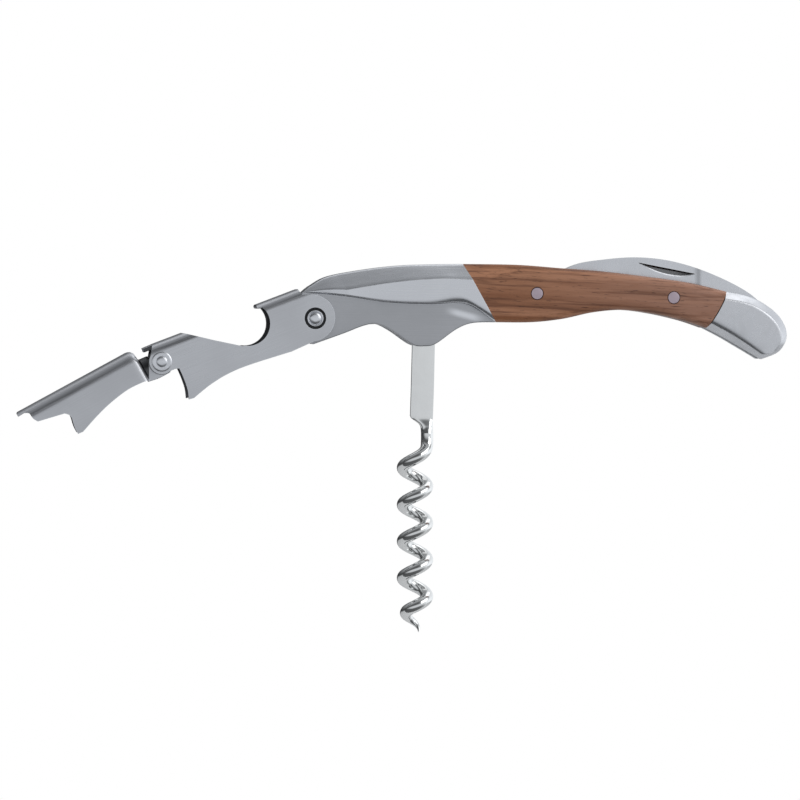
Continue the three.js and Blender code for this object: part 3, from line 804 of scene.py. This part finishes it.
def make_lever_pivot(metal, dark):
    """The nose rivet: a low dome in a groove, a ring round it, and a near-black ring sunk in the lever's
    hole that paints the shadow in the gap there."""
    top = high_corner("lever_pivot_pin").y
    rise = high_corner("lever_bush_left").y
    dome = [
        (0.0, top), (0.7, top - 0.03), (1.1, top - 0.1), (1.32, top - 0.24), (1.42, top - 0.45),
        (1.44, rise - 0.5), (1.44, CHEEK_OUT - 0.4),
    ]
    profile = [(r, -y) for r, y in dome] + dome[::-1]
    rivet = turned_mesh("nose_rivet", LEVER_PIVOT, profile)
    place(rivet, "handle", metal, "rivet_steel", "lever_pivot_pin")
    ring = [
        (1.4, CHEEK_OUT - 0.2), (1.4, rise - 0.42), (1.58, rise - 0.4), (1.64, rise - 0.08), (1.74, rise),
        (1.92, rise - 0.03), (2.0, rise - 0.2), (2.0, CHEEK_OUT - 0.2),
    ]
    place_pair(turned_mesh("nose_bush", LEVER_PIVOT, ring), "handle", metal, "rivet_steel", "lever_bush")
    # a near-black ring in the gap round the bush: painted shadow
    low, high = LEVER_OUT - 0.9, LEVER_OUT - 0.5
    washer = [(1.95, low), (1.95, high), (2.56, high), (2.56, low)]
    mesh = turned_mesh("nose_shadow_ring_left", LEVER_PIVOT, washer)
    for side in (mesh, mirrored(mesh, "nose_shadow_ring_right")):
        place(side, "handle", dark, "rivet_steel")


# ---------------------------------------------------------------- folded sheet levers

def channel_mesh(name, stations, direction, depth, bend):
    """A folded sheet channel, open below. Each station is (x, z of the back, half width); the
    cross-sections are square to the direction, and the corners have the bend as outer radius."""
    along = Vector(direction).normalized()
    down = Vector((along.y, -along.x))
    rings = []
    for x, z, half in stations:
        section = channel_section(half, depth, bend)
        rings.append([(x + down.x * s, y, z + down.y * s) for y, s in section])
    return new_mesh(name, *stacked(rings))


def channel_section(half, depth, bend, steps=9):
    """The channel's cross-section as (y, depth below the back)."""
    def corner(inward):
        radius = bend - inward
        turns = [math.pi / 2 * i / steps for i in range(steps + 1)]
        return [(half - bend + radius * math.cos(t), bend - radius * math.sin(t)) for t in turns]
    outer = [(half, depth)] + corner(0.0)
    inner = [(half - SHEET, depth)] + corner(SHEET)
    left = outer + [(-y, s) for y, s in reversed(outer)]
    right = inner + [(-y, s) for y, s in reversed(inner)]
    return left + right[::-1]


SPINE_START = (-66.6, 69.5)
SPINE_END = (-29.1, 83.75)
SPINE_TILT = math.atan2(SPINE_END[1] - SPINE_START[1], SPINE_END[0] - SPINE_START[0])
EAR_CENTRE = (-25.9, 76.8)
EAR_R = 5.7
BOOT_EAR_R = 3.0
NOTCH_CENTRE = (-41.3, 75.4)
NOTCH_R = 5.35
BUSH_HOLE_R = 2.62
LEVER_BEND = 2.5
CHANNEL_DEPTH = 40.0


def on_line(start, tilt, x, depth=0.0):
    """A point on a sloping back line, at x, sunk below it by a depth square to the line."""
    z = start[1] + (x - start[0]) * math.tan(tilt)
    return x + depth * math.sin(tilt), z - depth * math.cos(tilt)


def on_spine(x, depth=0.0):
    return on_line(SPINE_START, SPINE_TILT, x, depth)


def lever_outline():
    points = [on_spine(-64.3), on_spine(-57.0), (-56.1, 73.0), (-49.3, 71.4), (-42.6, 70.0)]
    points += arc(NOTCH_CENTRE, NOTCH_R, 262, 408)
    points += [on_spine(-38.9, 1.1), on_spine(-39.25, 0.85), on_spine(-39.3, 0.4), on_spine(-39.1, 0.0)]
    points += [on_spine(-29.1), (-28.2, 82.3)]
    points += arc(EAR_CENTRE, EAR_R, 88, -84)
    points += through([(-30.7, 68.7), (-40.9, 65.5), (-46.0, 63.4), (-50.3, 60.8), (-54.4, 57.5)])
    points += through([(-55.6, 57.2), (-55.9, 59.6), (-56.9, 62.5), (-57.9, 64.7)]) + [(-58.9, 64.5)]
    points += arc(BOOT_PIVOT, BOOT_EAR_R, -50, -205)
    return points


def make_first_lever(metal):
    ends = [on_spine(-70.0), on_spine(-15.0)]
    direction = (math.cos(SPINE_TILT), math.sin(SPINE_TILT))
    stations = [(x, z, LEVER_OUT) for x, z in ends]
    channel = channel_mesh("first_lever", stations, direction, CHANNEL_DEPTH, LEVER_BEND)
    shape = combined(channel, prism_mesh("outline", lever_outline(), -BEYOND, BEYOND), "INTERSECT")
    bore = [(0.0, -BEYOND), (BUSH_HOLE_R, -BEYOND), (BUSH_HOLE_R, BEYOND), (0.0, BEYOND)]
    shape = combined(shape, turned_mesh("bore", LEVER_PIVOT, bore), "DIFFERENCE")
    corners = ((-66.6, 0.1), (-64.2, 0.02), (-64.2, SHEET - 0.02), (-66.6, SHEET - 0.1))
    tongue = [on_spine(x, depth) for x, depth in corners]
    flat = LEVER_OUT - LEVER_BEND
    mesh = joined("first_lever", softened(shape, 0.16), plate_mesh("tongue", tongue, -flat, flat, 0.2))
    place(mesh, "lever", metal, "lever_steel", "first_lever")


BOOT_BACK_TIP = (-96.9, 53.9)
BOOT_BACK_END = (-70.3, 68.4)
BOOT_TILT = math.atan2(BOOT_BACK_END[1] - BOOT_BACK_TIP[1], BOOT_BACK_END[0] - BOOT_BACK_TIP[0])
BOOT_FOOT = (-66.3, 61.5)
BOOT_BEND = 3.0
# NECK_DARK is where the painted shade on the boot's neck starts
NECK_DARK = (-67.8, 66.9)
NECK_END = -65.0


def on_boot(x, depth=0.0):
    return on_line(BOOT_BACK_TIP, BOOT_TILT, x, depth)


def boot_outline():
    points = [on_boot(-96.9, 0.35), on_boot(-96.6), BOOT_BACK_END]
    points += [(-69.4, 68.5), (-68.7, 68.2), (-68.2, 67.5), (-67.6, 66.7), (-65.4, 67.5)]
    points += [(-64.9, 66.3), (-64.9, 61.6)]
    points += through([BOOT_FOOT, (-70.2, 59.6), (-74.4, 56.4), (-77.7, 53.2), (-81.0, 49.5)])
    points += through([(-82.2, 49.0), (-83.0, 50.6), (-83.9, 53.2), (-85.4, 53.9)])
    points += through([(-91.8, 52.0), (-92.9, 52.7), (-93.8, 53.9), (-95.0, 54.0)])
    points += [on_boot(-96.9, 0.9)]
    return points


def arm_outline():
    points = [(-65.3, 66.0), (-64.9, 67.5)]
    points += arc(BOOT_PIVOT, 2.9, 149, 0)
    return points + through([(-60.0, 63.7), (-62.6, 62.3), (-65.3, 61.4)])


def make_boot(metal):
    """The second lever: a channel that narrows to a neck, with an arm each side of the hinge."""
    stations = [(*on_boot(-99.0), LEVER_OUT), (*on_boot(-71.2), LEVER_OUT)]
    neck = [
        (-70.6, 68.24, 5.98), (-70.0, 68.5, 5.9), (-69.4, 68.5, 5.74), (-68.8, 68.25, 5.5),
        (-68.3, 67.6, 5.18), (-67.8, 66.9, 4.82), (-67.3, 66.7, 4.55), (-66.6, 67.0, 4.5),
        (-65.4, 67.5, 4.58), (-62.0, 68.9, NECK_OUT),
    ]
    direction = (math.cos(BOOT_TILT), math.sin(BOOT_TILT))
    channel = channel_mesh("boot_lever", stations + neck, direction, CHANNEL_DEPTH, BOOT_BEND)
    shape = combined(channel, prism_mesh("outline", boot_outline(), -BEYOND, BEYOND), "INTERSECT")
    arm = plate_mesh("arm", arm_outline(), NECK_OUT - SHEET + 0.02, NECK_OUT - 0.02)
    mesh = joined("boot_lever", softened(shape, 0.16), arm, mirrored(arm, "arm"))
    place(mesh, "boot", metal, "lever_steel", "boot_lever")


def make_boot_pivot(metal):
    top = high_corner("boot_pivot_pin").y
    face = high_corner("boot_washer_left").y
    dome = [
        (0.0, top), (0.75, top - 0.03), (1.1, top - 0.1), (1.28, top - 0.22), (1.35, face - 0.02),
        (1.35, face - 0.3),
    ]
    profile = [(r, -y) for r, y in dome] + dome[::-1]
    rivet = turned_mesh("hinge_rivet", BOOT_PIVOT, profile)
    place(rivet, "lever", metal, "rivet_steel", "boot_pivot_pin")
    washer = [
        (1.2, LEVER_OUT - 0.2), (1.2, face - 0.05), (1.5, face - 0.08), (1.85, face), (2.25, face - 0.03),
        (2.42, face - 0.15), (2.45, LEVER_OUT - 0.2),
    ]
    ring = turned_mesh("hinge_washer", BOOT_PIVOT, washer)
    place_pair(ring, "lever", metal, "rivet_steel", "boot_washer")


# ---------------------------------------------------------------- worm

WIRE_R = 1.5
HELIX_R = 2.95
PITCH = 8.95
HELIX_TOP = 44.7
HELIX_EASE = 0.8
POINT_SHARE = 0.3
TAPER_LENGTH = 5.5
STEM_TOP = 48.6
WIRE_SIDES = 24

# the shank from its tang down to the wire: (z, left edge, right edge, half thickness, squareness)
SHANK = [
    (76.4, 1.2, 3.2, 0.8, 8), (75.9, 0.4, 4.2, 0.8, 8), (75.0, -0.3, 4.75, 0.8, 10),
    (73.8, -0.6, 4.9, 0.8, 14), (60.0, -0.95, 4.6, 0.8, 14), (52.9, -1.18, 4.36, 0.8, 14),
    (52.3, -0.95, 4.34, 0.82, 10), (51.8, -0.3, 4.32, 0.9, 7), (51.3, 0.45, 4.3, 1.02, 5),
    (50.8, 1.05, 4.3, 1.15, 4), (50.2, 1.35, 4.32, 1.28, 3), (49.4, 1.44, 4.42, 1.42, 2.3),
]


def wire_centre(z):
    below = HELIX_TOP - z
    drop = (below + math.sqrt(below * below + 4 * HELIX_EASE * HELIX_EASE)) / 2
    turn = -2 * math.pi * drop / PITCH
    radius = HELIX_R * min(1.0, POINT_SHARE + z / PITCH)
    return Vector((radius * math.cos(turn), radius * math.sin(turn), z)), turn


def worm_section(centre, across, through_thickness, half_x, half_y, squareness):
    """A ring between a circle (squareness 2) and a rounded rectangle."""
    ring = []
    for i in range(WIRE_SIDES):
        turn = 2 * math.pi * (i + 0.5) / WIRE_SIDES
        c, s = math.cos(turn), math.sin(turn)
        reach = (abs(c) ** squareness + abs(s) ** squareness) ** (-1 / squareness)
        wide, thick = half_x * c * reach, half_y * s * reach
        ring.append(tuple(centre + across * wide + through_thickness * thick))
    return ring


def wire_rings(steps=420):
    rings = []
    for i in range(steps + 1):
        z = STEM_TOP * (1 - i / steps)
        centre, turn = wire_centre(z)
        ahead, _ = wire_centre(z - 0.01)
        tangent = (ahead - centre).normalized()
        radial = Vector((math.cos(turn), math.sin(turn), 0.0))
        across = (radial - tangent * radial.dot(tangent)).normalized()
        taper = min(1.0, max(0.04, (z + 0.15) / TAPER_LENGTH)) ** 0.75
        rings.append(worm_section(centre, across, tangent.cross(across), WIRE_R * taper, WIRE_R * taper, 2))
    return rings


def make_worm(metal):
    across, thick = Vector((1.0, 0.0, 0.0)), Vector((0.0, -1.0, 0.0))
    rings = []
    for z, left, right, half, squareness in SHANK:
        centre = Vector(((left + right) / 2, 0.0, z))
        rings.append(worm_section(centre, across, thick, (right - left) / 2, half, squareness))
    mesh = smoothed(new_mesh("worm", *stacked(rings + wire_rings())), math.radians(50))
    place(mesh, "worm", metal, "worm_chrome", "worm")


# ---------------------------------------------------------------- blade

BLADE_TIP = (32.0, 86.2)
HEEL = (72.5, 82.2)
BLADE_BACK = [
    BLADE_TIP, (39.5, 89.8), (47.1, 91.1), (54.6, 91.6), (62.3, 90.9), (69.9, 88.9), (77.5, 85.8),
    (83.2, 82.6), (87.0, 79.2),
]
BLADE_EDGE = [HEEL, (60.0, 84.0), (48.0, 84.6), (38.0, 85.4), BLADE_TIP]
TANG_R = 4.2
GRIND_START = (31.0, 86.3)
GRIND_END = (70.9, 82.4)
GRIND_RISE = 2.4
EDGE_HALF = 0.12
NICK_TOP = ((54.7, 90.4), (69.7, 87.5))
NICK_CURVE = [(69.7, 87.5), (65.7, 86.8), (60.2, 87.8), (54.7, 90.4)]
NICK_DEPTH = 0.6
NICK_CORNER = 14.0
# NICK_FOOT and PLUNGE_X place the painted shade in the nick and at the plunge line
NICK_FOOT = 86.6
PLUNGE_X = 70.2


def grind_mesh():
    """What the grinding takes off the left face, along the edge from the tip to the plunge line."""
    rings = []
    for x, edge_z in (GRIND_START, GRIND_END):
        top, foot = edge_z + GRIND_RISE, edge_z - 1.0
        section = [(BLADE_HALF, top), (EDGE_HALF, foot), (BLADE_HALF + 1, foot), (BLADE_HALF + 1, top)]
        rings.append([(x, y, z) for y, z in section])
    return new_mesh("grind", *stacked(rings))


def nick_mesh():
    """The nail nick: deepest along its straight upper edge, running out at its curved lower edge."""
    curve = through(NICK_CURVE)
    count = len(curve) - 1
    straight = [tuple(NICK_TOP[1][k] + (NICK_TOP[0][k] - NICK_TOP[1][k]) * i / count for k in (0, 1))
                for i in range(count + 1)]
    outside = -BLADE_HALF - 0.5
    rings = [[
        (top[0], outside, top[1]),
        (top[0], -BLADE_HALF + NICK_DEPTH * math.sin(math.pi * i / count) ** 0.5, top[1]),
        (low[0], -BLADE_HALF - 0.03, low[1]),
        (low[0], outside, low[1]),
    ] for i, (top, low) in enumerate(zip(straight, curve))]
    return new_mesh("nick", *stacked(rings[1:-1]))


def make_blade(metal):
    points = through(BLADE_BACK) + arc(BLADE_PIVOT, TANG_R, 10, -135) + [(79.0, 78.0)] + through(BLADE_EDGE)
    shape = prism_mesh("blade", points, -BLADE_HALF, BLADE_HALF)
    grind = grind_mesh()
    for tool in (grind, mirrored(grind, "grind_right"), nick_mesh()):
        shape = combined(shape, tool, "DIFFERENCE")
    mesh = joined("foil_blade", softened(shape, 0.12, 35.0), angle=NICK_CORNER)
    place(mesh, "blade", metal, "blade_steel", "blade")


# ---------------------------------------------------------------- studio

FLOOR_Z = -0.3
FLOOR_HALF_WIDTH = 1.2
FLOOR_NEAR_Y = -0.05
FLOOR_FAR_Y = 1.3
AIM = Vector((-0.003686, 0.0, 0.056732))
VIEW_AZIMUTH = math.radians(-7.0)
VIEW_ELEVATION = math.radians(1.5)
VIEW_DISTANCE = 0.9
LENS = 166.0
SENSOR = 36.0

# brightness of the surroundings round the X axis, seen by the object's left part and by its right
# part: 0 degrees is the camera's side at eye level, 90 is overhead and 180 is behind the object
SURROUNDINGS = [
    (-180, 0.03, 0.95), (-150, 0.3, 0.9), (-115, 0.6, 0.7), (-98, 0.3, 0.4), (-80, 0.1, 0.12),
    (-28, 0.1, 0.11), (-15, 0.6, 0.62), (0, 0.68, 0.7), (10, 0.64, 0.66), (23, 0.13, 0.24),
    (34, 0.09, 0.22), (52, 0.14, 0.28), (70, 0.34, 0.4), (88, 0.4, 0.46), (108, 0.4, 0.72),
    (125, 0.36, 0.8), (160, 0.12, 0.9), (180, 0.03, 0.95),
]
SIDE_BLEND = 0.3
LEFT_END = 0.06
RIGHT_END = 1.1


def make_ramp(nodes, factor, stops):
    ramp = nodes.add("ShaderNodeValToRGB", {0: factor})
    while len(ramp.color_ramp.elements) < len(stops):
        ramp.color_ramp.elements.new(0.5)
    for element, (position, value) in zip(ramp.color_ramp.elements, stops):
        element.position = position
        element.color = tinted(value, ROOM_CAST, brightest=2.0)
    return ramp.outputs[0]


def make_world():
    """White to the camera; to the metal, a room with a pale screen at eye level, dark bands above
    and below it, a soft glow overhead, and a back wall that is dark to the left."""
    world = bpy.data.worlds.new("studio")
    world.use_nodes = True
    nodes = Nodes(world.node_tree)
    direction = nodes.add("ShaderNodeTexCoord").outputs["Generated"]
    x, y, z = nodes.add("ShaderNodeSeparateXYZ", {0: direction}).outputs
    turn = nodes.calculated("ARCTAN2", z, nodes.calculated("MULTIPLY", y, -1.0))
    share = nodes.calculated("ADD", nodes.calculated("MULTIPLY", turn, 1 / (2 * math.pi)), 0.5)
    sides = [
        make_ramp(nodes, share, [((row[0] + 180) / 360, row[column]) for row in SURROUNDINGS])
        for column in (1, 2)
    ]
    rightness = nodes.calculated("MULTIPLY", x, 1 / SIDE_BLEND)
    rightness.node.use_clamp = True
    to_the_right = nodes.calculated("GREATER_THAN", x, 0.0)
    ends = make_ramp(nodes, to_the_right, [(0.0, LEFT_END), (1.0, RIGHT_END)])
    endness = nodes.calculated("POWER", nodes.calculated("ABSOLUTE", x, 0.0), 6.0)
    room = nodes.tree.nodes["Background"]
    nodes.join(nodes.mixed(endness, nodes.mixed(rightness, *sides), ends), room.inputs["Color"])
    backdrop = nodes.add("ShaderNodeBackground", {"Color": WHITE})
    to_camera = nodes.add("ShaderNodeLightPath").outputs["Is Camera Ray"]
    both = nodes.add("ShaderNodeMixShader", {0: to_camera, 1: room.outputs[0], 2: backdrop.outputs[0]})
    nodes.join(both.outputs[0], nodes.tree.nodes["World Output"].inputs["Surface"])
    bpy.context.scene.world = world


def make_floor():
    corners = [
        (-FLOOR_HALF_WIDTH, FLOOR_NEAR_Y), (FLOOR_HALF_WIDTH, FLOOR_NEAR_Y),
        (FLOOR_HALF_WIDTH, FLOOR_FAR_Y), (-FLOOR_HALF_WIDTH, FLOOR_FAR_Y),
    ]
    rings = [[(x / MM, y / MM, z / MM) for x, y in corners] for z in (FLOOR_Z - 0.02, FLOOR_Z)]
    mesh = softened(new_mesh("floor", *stacked(rings)), 4.0)
    mesh.materials.append(pale_paper("floor_card"))
    floor = bpy.data.objects.new("floor", mesh)
    bpy.context.scene.collection.objects.link(floor)


def make_light(name, place_at, size, energy):
    data = bpy.data.lights.new(name, "AREA")
    data.shape = "RECTANGLE"
    data.size, data.size_y = size
    data.energy = energy
    light = bpy.data.objects.new(name, data)
    light.location = place_at
    light.rotation_euler = (AIM - Vector(place_at)).to_track_quat("-Z", "Y").to_euler()
    bpy.context.scene.collection.objects.link(light)


def make_lights():
    make_light("overhead_box", (0.0, 0.25, 0.75), (0.9, 0.4), 0.5)
    make_light("tail_box", (0.18, 0.09, 0.36), (0.22, 0.25), 0.07)
    make_light("right_box", (0.5, -0.45, 0.42), (0.62, 0.5), 1.5)


def make_camera():
    flat = math.cos(VIEW_ELEVATION)
    offset = Vector((
        math.sin(VIEW_AZIMUTH) * flat, -math.cos(VIEW_AZIMUTH) * flat, math.sin(VIEW_ELEVATION),
    ))
    data = bpy.data.cameras.new("camera")
    data.lens, data.sensor_width = LENS, SENSOR
    data.clip_start, data.clip_end = 0.01, 20.0
    camera = bpy.data.objects.new("camera", data)
    camera.location = AIM + offset * VIEW_DISTANCE
    camera.rotation_euler = (-offset).to_track_quat("-Z", "Y").to_euler()
    bpy.context.scene.collection.objects.link(camera)
    bpy.context.scene.camera = camera


# ---------------------------------------------------------------- assembly

def make_object():
    skin = LEVER_OUT - 0.25
    # the cheek's steel, with a painted highlight below the crease
    side_steel = brushed_metal("brushed_side_steel", 0.48, 0.33, painted_light=painted_sheen_streak, painted_light_tone=0.82)
    liner_steel = brushed_metal("brushed_liner_steel", 0.48, 0.35)
    bolster_steel = brushed_metal("satin_bolster_steel", 0.78, 0.28, grain=0.3)
    tail_steel = polished_metal("polished_tail_steel", 0.68, 0.28)
    rivet_steel = polished_metal("turned_rivet_steel", 0.8, 0.26)
    pin_steel = polished_metal("ground_pin_steel", 0.48, 0.3, LILAC_CAST)
    spring_steel = brushed_metal("spring_steel", 0.48, 0.38)
    # the first lever's steel, with painted shade inside its channel
    lever_steel = brushed_metal(
        "brushed_lever_steel", 0.63, 0.33, tilt=SPINE_TILT, painted_light=painted_shade_inside(SPINE_TILT, skin))
    # the boot's steel, with painted shade on its neck and inside, and a painted shadow round the hinge
    boot_steel = brushed_metal(
        "brushed_boot_steel", 0.62, 0.34, tilt=BOOT_TILT, painted_light=painted_shade_neck(BOOT_TILT, skin))
    # the blade's steel, with painted shade in the nick and at the plunge line
    blade_steel = brushed_metal(
        "ground_blade_steel", 0.77, 0.26, tilt=1.45, grain=0.4, clouding=0.25, wear=0.15, painted_light=painted_shade_nick)
    chrome = polished_metal("worm_chrome", 0.86, 0.07, CHROME_CAST)

    make_liners(liner_steel)
    make_front_bolsters(side_steel, bolster_steel)
    make_scales(oiled_wood("oiled_wood"))
    make_rear_bolsters(tail_steel)
    flush_pin("front_wood_pin", "scale_pin_front", pin_steel, "pin_steel")
    flush_pin("rear_wood_pin", "scale_pin_rear", pin_steel, "pin_steel")
    keep_hidden_pins(rivet_steel)
    make_nose_spacer(liner_steel)
    make_back_spring(spring_steel)
    # a near-black finish that paints the shadow in the gap round the nose rivet
    make_lever_pivot(rivet_steel, polished_metal("painted_shadow_black", 0.04, 0.35))
    make_first_lever(lever_steel)
    make_boot(boot_steel)
    make_boot_pivot(rivet_steel)
    make_worm(chrome)
    make_blade(blade_steel)


bpy.context.scene.view_settings.view_transform = "Standard"
make_object()
make_world()
make_floor()
make_lights()
make_camera()
